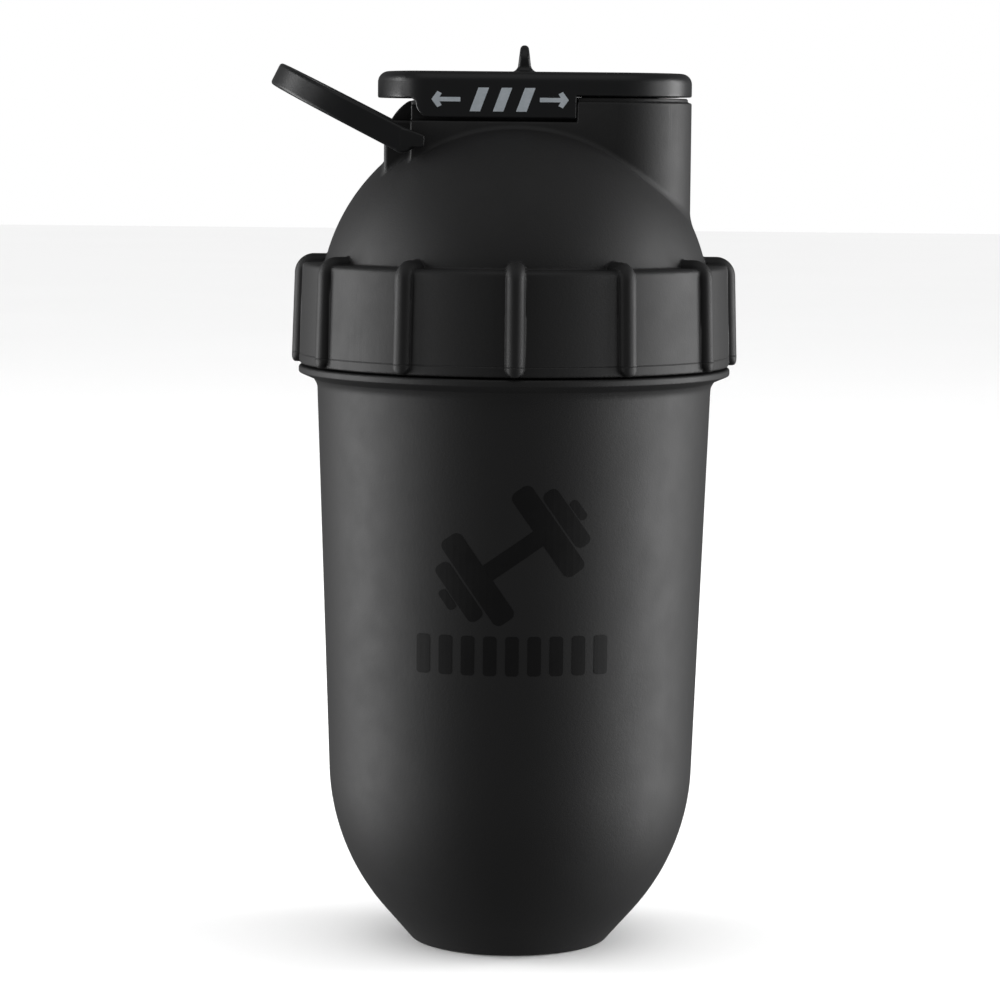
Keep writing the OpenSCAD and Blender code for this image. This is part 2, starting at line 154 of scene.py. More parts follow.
def sample(shape, low, cell, counts):
    """The shape's distance at every grid point; far from the surface only its sign counts."""
    blocks = np.stack(np.meshgrid(*[np.arange(n) for n in counts], indexing="ij"), -1).reshape(-1, 3)
    centre = low + (blocks + 0.5) * BLOCK * cell
    d = shape(*centre.T)
    near = np.abs(d) < BLOCK * cell * NEAR_BLOCKS
    values = np.repeat(np.sign(d)[:, None], BLOCK ** 3, 1) * cell * BLOCK
    inner = np.stack(np.meshgrid(*[np.arange(BLOCK)] * 3, indexing="ij"), -1).reshape(-1, 3)
    for chunk in np.array_split(np.flatnonzero(near), max(1, near.sum() // CHUNK)):
        p = low + (blocks[chunk][:, None] * BLOCK + inner) * cell
        values[chunk] = shape(*p.reshape(-1, 3).T).reshape(len(chunk), -1)
    a, b, c = counts
    grid = values.reshape(a, b, c, BLOCK, BLOCK, BLOCK).transpose(0, 3, 1, 4, 2, 5)
    return grid.reshape(a * BLOCK, b * BLOCK, c * BLOCK)


def gradient(shape, p, step=0.02):
    """Slope of the distance at each point."""
    out = np.empty_like(p)
    for axis in range(3):
        ahead, behind = p.copy(), p.copy()
        ahead[:, axis] += step
        behind[:, axis] -= step
        out[:, axis] = (shape(*ahead.T) - shape(*behind.T)) / (2 * step)
    return out


def settle(shape, p, reach, turns=3):
    """Moves each point onto the surface, by no more than reach."""
    start = p.copy()
    for _ in range(turns):
        g = gradient(shape, p)
        size = np.maximum((g * g).sum(1), FLATTEST)
        p = p - g * (shape(*p.T) / size)[:, None]
        p = start + np.clip(p - start, -reach, reach)
    return p


def surface(shape, low, high, cell):
    """Vertices and four-sided faces of the shape's surface: one vertex in each grid cell it crosses."""
    low = np.array(low, float) - MARGIN_CELLS * cell
    counts = [math.ceil((h + MARGIN_CELLS * cell - s) / (cell * BLOCK)) for s, h in zip(low, high)]
    grid = sample(shape, low, cell, counts)
    inside = grid < 0
    corners = [(i, j, k) for i in (0, 1) for j in (0, 1) for k in (0, 1)]
    n = np.array(grid.shape)
    windows = [tuple(slice(s, m - 1 + s) for s, m in zip(c, n)) for c in corners]
    total = sum(inside[window].astype(np.int8) for window in windows)
    cells = np.argwhere((total > 0) & (total < len(corners)))
    number = np.full(n - 1, -1, np.int64)
    number[tuple(cells.T)] = np.arange(len(cells))
    value = {c: grid[tuple((cells + c).T)] for c in corners}
    sums, hits = np.zeros((len(cells), 3)), np.zeros(len(cells))
    for a in corners:
        for axis in range(3):
            if a[axis]:
                continue
            b = tuple(v + (k == axis) for k, v in enumerate(a))
            crossed = (value[a] < 0) != (value[b] < 0)
            t = np.where(crossed, value[a] / np.where(crossed, value[a] - value[b], 1), 0)
            point = np.array(a, float) + t[:, None] * np.eye(3)[axis]
            sums += point * crossed[:, None]
            hits += crossed
    vertices = low + (cells + sums / hits[:, None]) * cell
    faces = []
    for axis in range(3):
        step, u, v = np.roll(np.eye(3, dtype=int), -axis, 0)
        head = inside[tuple(slice(0, m - s) for m, s in zip(n, step))]
        tail = inside[tuple(slice(s, m) for m, s in zip(n, step))]
        at = np.argwhere(head != tail)
        at = at[(at @ u > 0) & (at @ v > 0)]
        quad = np.stack([number[tuple((at - o).T)] for o in (0 * u, u, u + v, v)], 1)
        flip = inside[tuple(at.T)]
        quad[~flip] = quad[~flip][:, ::-1]
        faces.append(quad)
    faces = np.concatenate(faces)
    faces = faces[(faces >= 0).all(1)]
    return settle(shape, vertices, SETTLE_CELLS * cell), faces


def new_mesh(name, vertices_mm, faces):
    mesh = bpy.data.meshes.new(name)
    metres = (np.asarray(vertices_mm) / MM).tolist()
    mesh.from_pydata(metres, [], [[int(i) for i in face] for face in faces])
    mesh.update()
    obj = bpy.data.objects.new(name, mesh)
    bpy.context.scene.collection.objects.link(obj)
    return obj


def apply_modifiers(obj):
    """Turns the object's mesh into what its modifiers make of it."""
    bpy.context.view_layer.update()
    result = bpy.data.meshes.new_from_object(obj.evaluated_get(bpy.context.evaluated_depsgraph_get()))
    obj.modifiers.clear()
    old = obj.data
    obj.data = result
    bpy.data.meshes.remove(old)


def moulded(name, shape, low, high, cell, keep_triangles=None):
    """A moulded piece from its shape, with its mesh thinned to keep_triangles and shaded by the shape."""
    vertices, faces = surface(shape, low, high, cell)
    obj = new_mesh(name, vertices, faces)
    triangles = len(faces) * 2
    if keep_triangles and triangles > keep_triangles:
        thin = obj.modifiers.new("thin", "DECIMATE")
        thin.ratio = keep_triangles / triangles
        apply_modifiers(obj)
    mesh = obj.data
    co = np.empty(len(mesh.vertices) * 3)
    mesh.vertices.foreach_get("co", co)
    p = settle(shape, co.reshape(-1, 3) * MM, RESETTLE_CELLS * cell, 2)
    mesh.vertices.foreach_set("co", (p / MM).ravel())
    normal = gradient(shape, p, NORMAL_STEP)
    normal /= np.maximum(np.linalg.norm(normal, axis=1), TINY)[:, None]
    mesh.shade_smooth()
    mesh.normals_split_custom_set_from_vertices(normal.tolist())
    # Marks outside edges for the painted edge highlight
    edge_wear(mesh, shape, p, normal)
    return obj


def edge_wear(mesh, shape, p, normal, reach=0.7):
    """Marks the vertices on outside edges, from 0 to 1, where the materials paint a lighter edge highlight
    and lower the roughness.
    """
    ahead = shape(*(p - normal * reach).T)
    amount = np.clip((ahead + reach) / (0.5 * reach), 0, 1)
    # Strength of the painted edge highlight at each vertex
    layer = mesh.attributes.new("edge", "FLOAT", "POINT")
    layer.data.foreach_set("value", amount.astype(np.float32))


# ---------------------------------------------------------------- screw cap

COLLAR_Z = CAP_LOW[2]
COLLAR_LOW_R = 50.15
COLLAR_TOP_R = 49.4
COLLAR_FOOT_ROUND = 0.5
SHOULDER_Z = 159.5
SHOULDER_ROUND = 1.1
RIB_COUNT = 12
RIB_PROUD = 2.0
RIB_W = 4.2
RIB_LIFT = 0.1                    # of the ribs' feet, over the collar's
RIB_TOP_Z = SHOULDER_Z + 1.9
RIB_TOP_ROUND = 4.4
RIB_ROOT = 43.2                   # the ribs start inside the dome
RIB_ROUND = 2.0                   # along a rib; half of it round its foot
RIB_FILLET = 0.2
DOME_R = 45.6
DOME_Z = 149.1
DOME_ROOT_Z = SHOULDER_Z - 3
DOME_FILLET = 0.45
CAP_WALL = 2.0
CUT_ROUND = 0.3                   # of the edges of most openings

HOUSING = dict(left=-24.2, right=COVER_HIGH[0], half=COVER_HIGH[1])
HOUSING_CORNER = 0.25
HOUSING_ROOT_Z = DOME_Z + 8
HOUSING_FILLET = 0.9
RECESS = dict(left=-30.4, half=14.5, corner=1.0)
RECESS_LAP_X = -10.0              # how far into the housing the narrower left part reaches
DECK_Z = CAP_HIGH[2]
DECK_INSET = 0.9
DECK_ROUND = 0.35
HOUSING_Z = DECK_Z - 1.0

BORE_R = 47.9
BORE_TOP_Z = 156.8
LIP_R = (42.5, 43.95)
LIP_Z = 149.5
LIP_TOP_Z = 158.8
LIP_ROUND = 0.4
DOME_HOLLOW_Z = 149.0
OPEN_UP = 50.0                    # lets the hollow widen over the lip
LEAD = 12.0
STARTS = 3
THREAD_HALF = 0.95
THREAD_TAPER = 0.5
THREAD_ROUND = 0.15
CAP_THREAD_R = 46.8
CAP_THREAD_Z = 137.2
CAP_THREAD_SWEEP = 130
CAP_THREAD_END = 0.01

CAVITY_CORNER = 1.0
CAVITY_ROUND = 0.8
CAVITY_LOW_Z = DOME_Z + 16
CAVITY_LEFT_END = -12.0
CAVITY_LEFT_TOP = 190.4
CAVITY_HALF = 12.4
CAVITY_X = -22.0
CAVITY_LAP = 4.0                  # of the narrow part into the wide one
CAVITY_STEP = 2.0                 # from the channels' end to the wide part
ROOF_T = 2.2
BOSS_R = 2.6
BOSS_HALF = 10.8                  # from the middle to the socket bosses' inner ends
BOSS_FILLET = 0.4
SOCKET_R = 1.5
SOCKET_HALF = 12.0
SOCKET_ROUND = 0.2

SKIRT_RIGHT = 13.6
CHANNEL_RIGHT = SKIRT_RIGHT + 0.2
CHANNEL_Z = 192.4
RAIL_Z = 195.9
RAIL_HALF = 16.3
RAIL_END_GAP = 0.35
RAIL_END_X = -14.0
WEB_HALF = 14.0
WEB_END = (-18.5, 186.8, 12.0)    # centre, as x and z, and radius of the web's rounded left end
WEB_END_HALF = 5.0

MOUTH_LEFT = 26.0
MOUTH_INSET = 3.6
MOUTH_CORNER = 2.5
MOUTH_DEPTH = 3.0
MOUTH_ROUND = 0.7


def collar_r(z, proud=0.0):
    """Radius of the tapered collar, or of what stands proud of it."""
    slope = (COLLAR_TOP_R - COLLAR_LOW_R) / (SHOULDER_Z - COLLAR_Z)
    return COLLAR_LOW_R + proud + slope * (z - COLLAR_Z)


def d_cap_thread(r, angle, z):
    """The helical ridges inside the collar."""
    turn = np.degrees(angle) % 360.0
    half = THREAD_HALF - THREAD_TAPER * np.abs(r - BORE_R)
    best = np.full(r.shape, FAR)
    for start in range(STARTS):
        for lap in (0, 1):
            along = (turn - start * 360 / STARTS) % 360 + 360 * lap
            height = z - (CAP_THREAD_Z + LEAD * along / 360)
            past = np.maximum(along - CAP_THREAD_SWEEP, 0) * np.pi / 180 * BORE_R
            ridge = np.maximum(np.abs(height) - half, CAP_THREAD_R - r)
            best = np.minimum(best, np.maximum(ridge, past - CAP_THREAD_END))
    return best


def d_rib(x, y, z):
    """The grip ribs: rounded bars up the collar and over the shoulder, with round feet."""
    sector = 2 * math.pi / RIB_COUNT
    angle = np.arctan2(y, x)
    angle = angle - sector * np.round(angle / sector)
    r = np.hypot(x, y)
    u, v = r * np.cos(angle), r * np.sin(angle)
    side = round_and(u - collar_r(z, RIB_PROUD), z - RIB_TOP_Z, RIB_TOP_ROUND)
    side = np.maximum(side, RIB_ROOT - u)
    foot = COLLAR_Z + RIB_LIFT + RIB_W / 2
    front = np.hypot(v, np.maximum(foot - z, 0)) - RIB_W / 2
    return round_and(side, front, RIB_ROUND - np.clip((foot - z) / RIB_W * 2, 0, 1))


def d_cap_outside(x, y, z):
    r = np.hypot(x, y)
    dome = np.maximum(np.sqrt(r * r + (z - DOME_Z) ** 2) - DOME_R, DOME_ROOT_Z - z)
    collar = round_and(r - collar_r(z), z - SHOULDER_Z, SHOULDER_ROUND)
    collar = round_and(collar, COLLAR_Z - z, COLLAR_FOOT_ROUND)
    body = round_or(dome, collar, DOME_FILLET)
    body = round_or(body, d_rib(x, y, z), RIB_FILLET)
    outline = d_plan(x, y, HOUSING["left"], HOUSING["right"], HOUSING["half"], HOUSING_CORNER)
    recess = d_plan(x, y, RECESS["left"], 0.0, RECESS["half"], RECESS["corner"])
    wall = round_or(outline, round_and(recess, x - RECESS_LAP_X, 0), CUT_ROUND)
    housing = np.maximum(round_and(wall, z - HOUSING_Z, DECK_ROUND), HOUSING_ROOT_Z - z)
    deck = round_and(outline + DECK_INSET, z - DECK_Z, DECK_ROUND)
    deck = np.maximum(deck, HOUSING_ROOT_Z - z)
    return round_or(body, np.minimum(housing, deck), HOUSING_FILLET)


def d_cap_inside(x, y, z):
    """The space under the collar and dome, without the plug lip and the thread."""
    r, angle = np.hypot(x, y), np.arctan2(y, x)
    bore = np.maximum(r - BORE_R, z - BORE_TOP_Z)
    lip = round_and(np.maximum(r - LIP_R[1], LIP_R[0] - r), LIP_Z - z, LIP_ROUND)
    bore = cut(bore, lip, CUT_ROUND)
    dome = np.sqrt(r * r + (z - DOME_Z) ** 2) - (DOME_R - CAP_WALL)
    dome = np.maximum(dome, DOME_HOLLOW_Z - z)
    dome = np.maximum(dome, r - LIP_R[0] - OPEN_UP * (z > LIP_TOP_Z))
    return cut(np.minimum(bore, dome), d_cap_thread(r, angle, z), THREAD_ROUND)


def by_pivot(x, y, z, radius, inner_half):
    """A round bar along the loop's hinge line, on each side, that starts inner_half from the middle."""
    return np.maximum(np.hypot(x - PIVOT[0], z - PIVOT[2]) - radius, inner_half - np.abs(y))


def d_housing_inside(x, y, z):
    wide = d_plan(x, y, HOUSING["left"] + CAP_WALL, HOUSING["right"] - CAP_WALL,
                  HOUSING["half"] - CAP_WALL, CAVITY_CORNER)
    left = d_plan(x, y, RECESS["left"] + CAP_WALL, 0, RECESS["half"] - CAP_WALL, CAVITY_CORNER)
    low = np.minimum(wide, np.maximum(left, x - CAVITY_LEFT_END))
    narrow = d_box(x, y, (CAVITY_X, -CAVITY_HALF), (CHANNEL_RIGHT + CAVITY_LAP, CAVITY_HALF))
    right = np.maximum(wide, CHANNEL_RIGHT + CAVITY_STEP - x)
    high = np.minimum(narrow, right)
    low = round_and(low, z - CAVITY_LEFT_TOP, CAVITY_ROUND)
    high = round_and(high, z - (DECK_Z - ROOF_T), CAVITY_ROUND)
    hollow = np.maximum(np.minimum(low, high), CAVITY_LOW_Z - z)
    return cut(hollow, by_pivot(x, y, z, BOSS_R, BOSS_HALF), BOSS_FILLET)


def d_channels(x, y, z):
    """What the cover's walls and hooks run in, and the space left of the web's rounded end."""
    up = CHANNEL_Z - z
    run = np.maximum(x - CHANNEL_RIGHT, up)
    outer = np.maximum(RAIL_HALF - np.abs(y), run)
    under = np.maximum(np.maximum(WEB_HALF - np.abs(y), run), z - RAIL_Z)
    ex, ez, er = WEB_END
    end = np.maximum(np.maximum(x - ex, up), er - np.hypot(x - ex, z - ez))
    end = np.minimum(end, np.maximum(np.maximum(x - HOUSING["left"], up), WEB_END_HALF - np.abs(y)))
    # The rails' left corners stay clear of the round corners of the cover's wall
    inner = d_cover_plan(x, y) + COVER_WALL + RAIL_END_GAP
    corners = np.maximum(np.maximum(-inner, x - RAIL_END_X), up)
    return np.minimum(np.minimum(outer, under), np.minimum(end, corners))


def d_mouth(x, y, z):
    right, half = HOUSING["right"] - MOUTH_INSET, HOUSING["half"] - MOUTH_INSET
    plan = d_plan(x, y, MOUTH_LEFT, right, half, MOUTH_CORNER)
    return np.maximum(np.maximum(plan, MOUTH_LEFT - x), DECK_Z - MOUTH_DEPTH - z)


def d_screw_cap(x, y, z):
    body = d_cap_outside(x, y, z)
    for hollow in (d_cap_inside, d_housing_inside, d_channels):
        body = cut(body, hollow(x, y, z), CUT_ROUND)
    body = cut(body, d_mouth(x, y, z), MOUTH_ROUND)
    return cut(body, by_pivot(x, y, z, SOCKET_R, SOCKET_HALF), SOCKET_ROUND)


def make_screw_cap():
    obj = moulded("cap_shell", d_screw_cap, CAP_LOW, CAP_HIGH, 0.5, 190_000)
    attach(obj, "cap")
    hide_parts("screw_cap")
    return obj


# ---------------------------------------------------------------- slide cover

COVER_HALF = COVER_HIGH[1]
NOSE_R = 24.0
NOSE_CORNER_R = 8.5
NOSE_X = COVER_LOW[0] + NOSE_R    # centre of the nose's curve
NOSE_CORNER_Y = COVER_HALF - NOSE_CORNER_R
NOSE_CORNER_X = NOSE_X - math.sqrt((NOSE_R - NOSE_CORNER_R) ** 2 - NOSE_CORNER_Y ** 2)
COVER_TOP = COVER_HIGH[2] - 6.15
COVER_TOP_ROUND = 2.5
COVER_WALL = 1.6
COVER_ROOF = 2.35
COVER_INSIDE_ROUND = 1.0
COVER_EDGE_ROUND = 0.35
NOSE_Z = 197.6
NOSE_ROOT_R = 1.6                 # where the skirt meets the nose's edge
SIDE_Z = 198.3
SKIRT_Z = COVER_LOW[2]
SKIRT_LEFT = -23.1
SKIRT_CORNER_R = 3.4
SIDE_MARGIN = 4.0                 # by which the side view reaches past the cover
FIN_X = 1.7
FIN_HALF_Y = 10.0
FIN_FOOT_HALF = 1.65
FIN_TIP_HALF = 0.9
FIN_CORNER_R = 4.0
FIN_ROUND = 0.8
FIN_FILLET = 1.5
FIN_ROOT = 1.0
HOOK_LEFT = -18.0
HOOK_INSET = 0.1
HOOK_TOP_Z = 195.6
HOOK_Y = (15.1, 17.5)
HOOK_FILLET = 0.3


def cover_side():
    """Side view of what the cover's walls reach down to."""
    top = COVER_TOP + SIDE_MARGIN
    left, right = COVER_LOW[0] - SIDE_MARGIN, COVER_HIGH[0] + SIDE_MARGIN
    root, corner = NOSE_ROOT_R, SKIRT_CORNER_R
    return ([(left, top), (left, NOSE_Z)]
            + arc(SKIRT_LEFT - root, NOSE_Z - root, root, 90, 0, 6)
            + arc(SKIRT_LEFT + corner, SKIRT_Z + corner, corner, 180, 270, 8)
            + [(SKIRT_RIGHT, SKIRT_Z), (SKIRT_RIGHT, SIDE_Z), (right, SIDE_Z), (right, top)])


COVER_SIDE = cover_side()


def d_cover_plan(x, y):
    """Outline of the cover, seen from above: a round right end, and a bowed nose with round corners."""
    end = COVER_HIGH[0] - COVER_HALF
    y = np.abs(y)
    side = np.where(x > end, np.hypot(x - end, y), y) - COVER_HALF
    nose = np.hypot(x - NOSE_X, y) - NOSE_R
    corner = np.hypot(x - NOSE_CORNER_X, y - NOSE_CORNER_Y) - NOSE_CORNER_R
    on_nose = (NOSE_X - x) * NOSE_CORNER_Y > (NOSE_X - NOSE_CORNER_X) * y
    behind = np.maximum(side, np.where(x < NOSE_X, nose, -FAR))
    return np.where(x > NOSE_CORNER_X, behind, np.where(on_nose, nose, corner))


def d_slide_cover(x, y, z):
    plan = d_cover_plan(x, y)
    block = round_and(plan, z - COVER_TOP, COVER_TOP_ROUND)
    hollow = round_and(plan + COVER_WALL, z - (COVER_TOP - COVER_ROOF), COVER_INSIDE_ROUND)
    shell = cut(block, hollow, CUT_ROUND)
    shell = round_and(shell, d_polygon(x, z, COVER_SIDE), COVER_EDGE_ROUND)
    up = (z - COVER_TOP) / (COVER_HIGH[2] - COVER_TOP)
    blade = np.abs(x - FIN_X) - (FIN_FOOT_HALF - (FIN_FOOT_HALF - FIN_TIP_HALF) * up)
    ends = round_and(np.abs(y) - FIN_HALF_Y, z - COVER_HIGH[2], FIN_CORNER_R)
    fin = np.maximum(round_and(blade, ends, FIN_ROUND), COVER_TOP - FIN_ROOT - z)
    shell = round_or(shell, fin, FIN_FILLET)
    run = d_box(x, z, (HOOK_LEFT, SKIRT_Z + HOOK_INSET), (SKIRT_RIGHT - HOOK_INSET, HOOK_TOP_Z))
    hook = np.maximum(run, np.maximum(HOOK_Y[0] - np.abs(y), np.abs(y) - HOOK_Y[1]))
    return round_or(shell, hook, HOOK_FILLET)


def make_slide_cover():
    obj = moulded("cover_shell", d_slide_cover, COVER_LOW, COVER_HIGH, 0.36, 110_000)
    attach(obj, "cover")
    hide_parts("slide_cover")
    return obj


# ---------------------------------------------------------------- carry loop

LOOP_ANGLE = math.radians(26.9)
LOOP_LEN = 33.7
LOOP_OPEN_END = 200.0             # past the arms' ends
ARM_HALF = LOOP_HIGH[1]
ARM_HALF_H = 2.8
ARM_TAPER = 0.1
BAND_T = 2.8
BAND_ROUND = 0.75
EYE_R = 2.9
# The tab's outline round the pin, before its corners are rounded
TAB = [(0.0, -1.0), (4.5, -1.0), (4.5, 0.7), (1.1, 1.9), (0.0, 1.9)]
TAB_T = 1.6
TAB_ROUND = 0.6
TAB_EDGE_ROUND = 0.4
TAB_FILLET = 0.3
PIN_R = 1.34
PIN_HALF = 12.2                   # from the middle to the pins' ends
PIN_ROUND = 0.35


def d_carry_loop(x, y, z):
    dx, dz = x - PIVOT[0], z - PIVOT[2]
    u = dx * math.cos(LOOP_ANGLE) - dz * math.sin(LOOP_ANGLE)
    w = dx * math.sin(LOOP_ANGLE) + dz * math.cos(LOOP_ANGLE)
    plan = d_plan(u, y, -LOOP_LEN, LOOP_OPEN_END, ARM_HALF, ARM_HALF)
    plan = np.abs(plan + BAND_T / 2) - BAND_T / 2
    half = ARM_HALF_H + (u / LOOP_LEN) * ARM_TAPER
    arm = np.maximum(np.abs(w) - half, u)
    eye = np.hypot(dx, dz) - EYE_R
    band = round_and(plan, np.minimum(arm, eye), BAND_ROUND)
    tab = np.maximum(np.abs(y) - ARM_HALF, ARM_HALF - TAB_T - np.abs(y))
    tab = round_and(tab, d_polygon(dx, dz, TAB) - TAB_ROUND, TAB_EDGE_ROUND)
    band = round_or(band, tab, TAB_FILLET)
    pin = round_and(np.hypot(dx, dz) - PIN_R, PIN_HALF - np.abs(y), PIN_ROUND)
    pin = np.maximum(pin, np.abs(y) - (ARM_HALF - 1))
    return round_or(band, pin, TAB_FILLET)


def make_carry_loop():
    obj = moulded("loop_band", d_carry_loop, LOOP_LOW, LOOP_HIGH, 0.3, 60_000)
    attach(obj, "loop")
    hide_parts("carry_loop")
    return obj


# ---------------------------------------------------------------- seals


PAD_CORNER = 0.5
PAD_ROUND = 0.6
GROOVE_INSET = 3.2
GROOVE_HALF = 0.7
GROOVE_DEPTH = 0.5
GROOVE_ROUND = 0.25
RING_R = 44.05                    # of the rim seal's bore
RING_ROUND = 0.5
RING_COLUMNS = 192
RING_STEP = 0.6
RING_GAP = 0.05                   # keeps the profile's ends apart


def d_mouth_seal(x, y, z):
    """A pad with a shallow groove, which leaves a raised lip round its underside."""
    plan = d_plan(x, y, PAD_LOW[0], PAD_HIGH[0], PAD_HIGH[1], PAD_CORNER)
    pad = round_and(plan, np.maximum(PAD_LOW[2] - z, z - PAD_HIGH[2]), PAD_ROUND)
    groove = np.maximum(np.abs(plan + GROOVE_INSET) - GROOVE_HALF, np.abs(z - PAD_LOW[2]) - GROOVE_DEPTH)
    return cut(pad, groove, GROOVE_ROUND)


def make_mouth_seal():
    obj = moulded("mouth_pad", d_mouth_seal, PAD_LOW, PAD_HIGH, 0.4)
    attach(obj, "cover")
    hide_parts("mouth_seal")
    return obj


def lathe(name, profile, columns, bump=None):
    """A closed ring, or a body whose profile starts and ends on the axis, turned from (radius, height)
    points in millimetres. bump(radius, angle, height) may add to the radius."""
    profile = np.array(profile, float)
    closed = profile[0][0] > TINY
    angle = np.linspace(0, 2 * math.pi, columns, endpoint=False)
    middle = profile if closed else profile[1:-1]
    r = np.repeat(middle[:, :1], columns, 1)
    z = np.repeat(middle[:, 1:], columns, 1)
    a = np.repeat(angle[None], len(middle), 0)
    if bump:
        r = r + bump(r, a, z)
    vertices = np.stack([r * np.cos(a), r * np.sin(a), z], -1).reshape(-1, 3)
    rows = len(middle)
    index = np.arange(rows * columns).reshape(rows, columns)
    ahead = np.roll(index, -1, 1)
    last = rows if closed else rows - 1
    faces = [(index[i, k], ahead[i, k], ahead[(i + 1) % rows, k], index[(i + 1) % rows, k])
             for i in range(last) for k in range(columns)]
    if not closed:
        low, high = len(vertices), len(vertices) + 1
        vertices = np.concatenate([vertices, [[0, 0, profile[0][1]], [0, 0, profile[-1][1]]]])
        faces += [(low, ahead[0, k], index[0, k]) for k in range(columns)]
        faces += [(high, index[-1, k], ahead[-1, k]) for k in range(columns)]
    obj = new_mesh(name, vertices, faces)
    obj.data.shade_smooth()
    return obj


def rounded(points, step=1.5, turn=9.0):
    """Profile points (r, z, radius) with each corner rounded to its radius and long sides divided."""
    out = []
    for i, (x, y, radius) in enumerate(points):
        p = np.array([x, y])
        if radius <= 0 or i in (0, len(points) - 1):
            out.append(p)
            continue
        a = np.array(points[i - 1][:2]) - p
        b = np.array(points[i + 1][:2]) - p
        a, b = a / np.linalg.norm(a), b / np.linalg.norm(b)
        half = math.acos(np.clip(a @ b, -1, 1)) / 2
        reach = radius / math.tan(half)
        centre = p + (a + b) / np.linalg.norm(a + b) * radius / math.sin(half)
        s, e = p + a * reach - centre, p + b * reach - centre
        total = math.acos(np.clip(s @ e / radius ** 2, -1, 1))
        count = max(2, int(math.degrees(total) / turn))
        for k in range(count + 1):
            t = k / count
            turned = s * math.sin((1 - t) * total) + e * math.sin(t * total)
            out.append(centre + turned / math.sin(total))
    dense = [out[0]]
    for p in out[1:]:
        gap = np.linalg.norm(p - dense[-1])
        count = max(1, int(gap / step))
        start = dense[-1]
        dense += [start + (p - start) * (k + 1) / count for k in range(count)]
    return [tuple(p) for p in dense]


def make_rim_seal():
    r0, r1 = RING_R, SEAL_HIGH[0]
    z0, z1 = SEAL_LOW[2], SEAL_HIGH[2]
    mid = (z0 + z1) / 2
    corners = [(r0, z1, RING_ROUND), (r1, z1, RING_ROUND), (r1, z0, RING_ROUND), (r0, z0, RING_ROUND)]
    section = [(r0, mid, 0)] + corners + [(r0, mid - RING_GAP, 0)]
    obj = lathe("rim_ring", rounded(section, RING_STEP), RING_COLUMNS)
    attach(obj, "seal_carrier")
    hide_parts("rim_seal")
    return obj


# ---------------------------------------------------------------- cup

BASE_R = 23.2
BOWL_R = 52.6                     # of the curve that the bowl's side follows
BOWL_C = (-9.8, 42.2)             # and its centre, as radius and height
CUP_WALL = 1.8
FLOOR_T = 2.2
WALL_TOP = (46.05, 131.0)         # where the flare under the flange starts
FLARE_TOP = (47.0, 132.5)
FLANGE_R = CUP_HIGH[0]
FLANGE_Z = 135.5
FLANGE_EDGE_Z = 133.95
NECK_R = 46.3
NECK_BORE_R = 44.3
RIM_Z = CUP_HIGH[2]
NECK_ROOT_Z = 131.0
FOOT_W = 3.6                      # of the ring that the cup stands on
FOOT_RISE = 0.35
FLOOR_ROUND_R = 17.0
CUP_COLUMNS = 256
THREAD_LOW_Z = 136.5
CUP_THREAD_Z = 139.2
CUP_THREAD_RISE = 1.2
CUP_THREAD_SLOPE = 0.45
CUP_THREAD_SWEEP = 200
CUP_THREAD_FADE = 12
NECK_TOLERANCE = 0.05
LONG_ROW = 0.3                    # longer rows of the neck are divided for the thread
THREAD_ROW = 0.22


def touch(radius, r, z, side):
    """Angle, in degrees, where a line from (r, z) touches a circle about the bowl's centre."""
    r, z = r - BOWL_C[0], z - BOWL_C[1]
    return math.degrees(math.atan2(z, r) + side * math.acos(radius / math.hypot(r, z)))


def cup_profile():
    foot = touch(BOWL_R, BASE_R, 0, 1)
    wall = touch(BOWL_R, *WALL_TOP, -1)
    inner_r = BOWL_R - CUP_WALL
    inner_wall = touch(inner_r, NECK_BORE_R, NECK_ROOT_Z, -1)
    floor = math.degrees(math.asin((FLOOR_T - BOWL_C[1]) / inner_r))
    foot_r = BASE_R - FOOT_W
    base = [(0, FOOT_RISE, 0), (foot_r - 0.6, FOOT_RISE, 0.5), (foot_r, 0, 0.3), (BASE_R, 0, 0.6)]
    bowl = [(x, y, 0) for x, y in arc(*BOWL_C, BOWL_R, foot, wall, 40)]
    flange = [(*WALL_TOP, 3.0), (*FLARE_TOP, 0.9), (FLANGE_R, FLANGE_EDGE_Z, 0.45),
              (FLANGE_R, FLANGE_Z, 0.55)]
    neck = [(NECK_R, FLANGE_Z, 0.5), (NECK_R, RIM_Z, 0.7), (NECK_BORE_R, RIM_Z, 0.7),
            (NECK_BORE_R, NECK_ROOT_Z, 3)]
    inside = [(x, y, 0) for x, y in arc(*BOWL_C, inner_r, inner_wall, floor + 4, 36)]
    middle = [(FLOOR_ROUND_R, FLOOR_T + 0.05, 2.5), (0, FLOOR_T, 0)]
    return rounded(base + bowl + flange + neck + inside + middle)


def on_neck(r):
    return np.abs(r - NECK_R) < NECK_TOLERANCE


def neck_ridges(r, a, z):
    """What the screw thread adds to the neck's radius."""
    add = np.zeros(r.shape)
    turn = np.degrees(a) % 360
    for start in range(STARTS):
        along = (turn - start * 360 / STARTS) % 360
        height = np.abs(z - (CUP_THREAD_Z + LEAD * along / 360))
        grow = np.clip((THREAD_HALF - height) / CUP_THREAD_SLOPE, 0, 1)
        grow = grow * grow * (3 - 2 * grow)
        start_fade = np.clip(along / CUP_THREAD_FADE, 0, 1)
        end_fade = np.clip((CUP_THREAD_SWEEP - along) / CUP_THREAD_FADE, 0, 1)
        add = np.maximum(add, CUP_THREAD_RISE * grow * (start_fade * end_fade))
    return np.where(on_neck(r) & (z > THREAD_LOW_Z), add, 0)


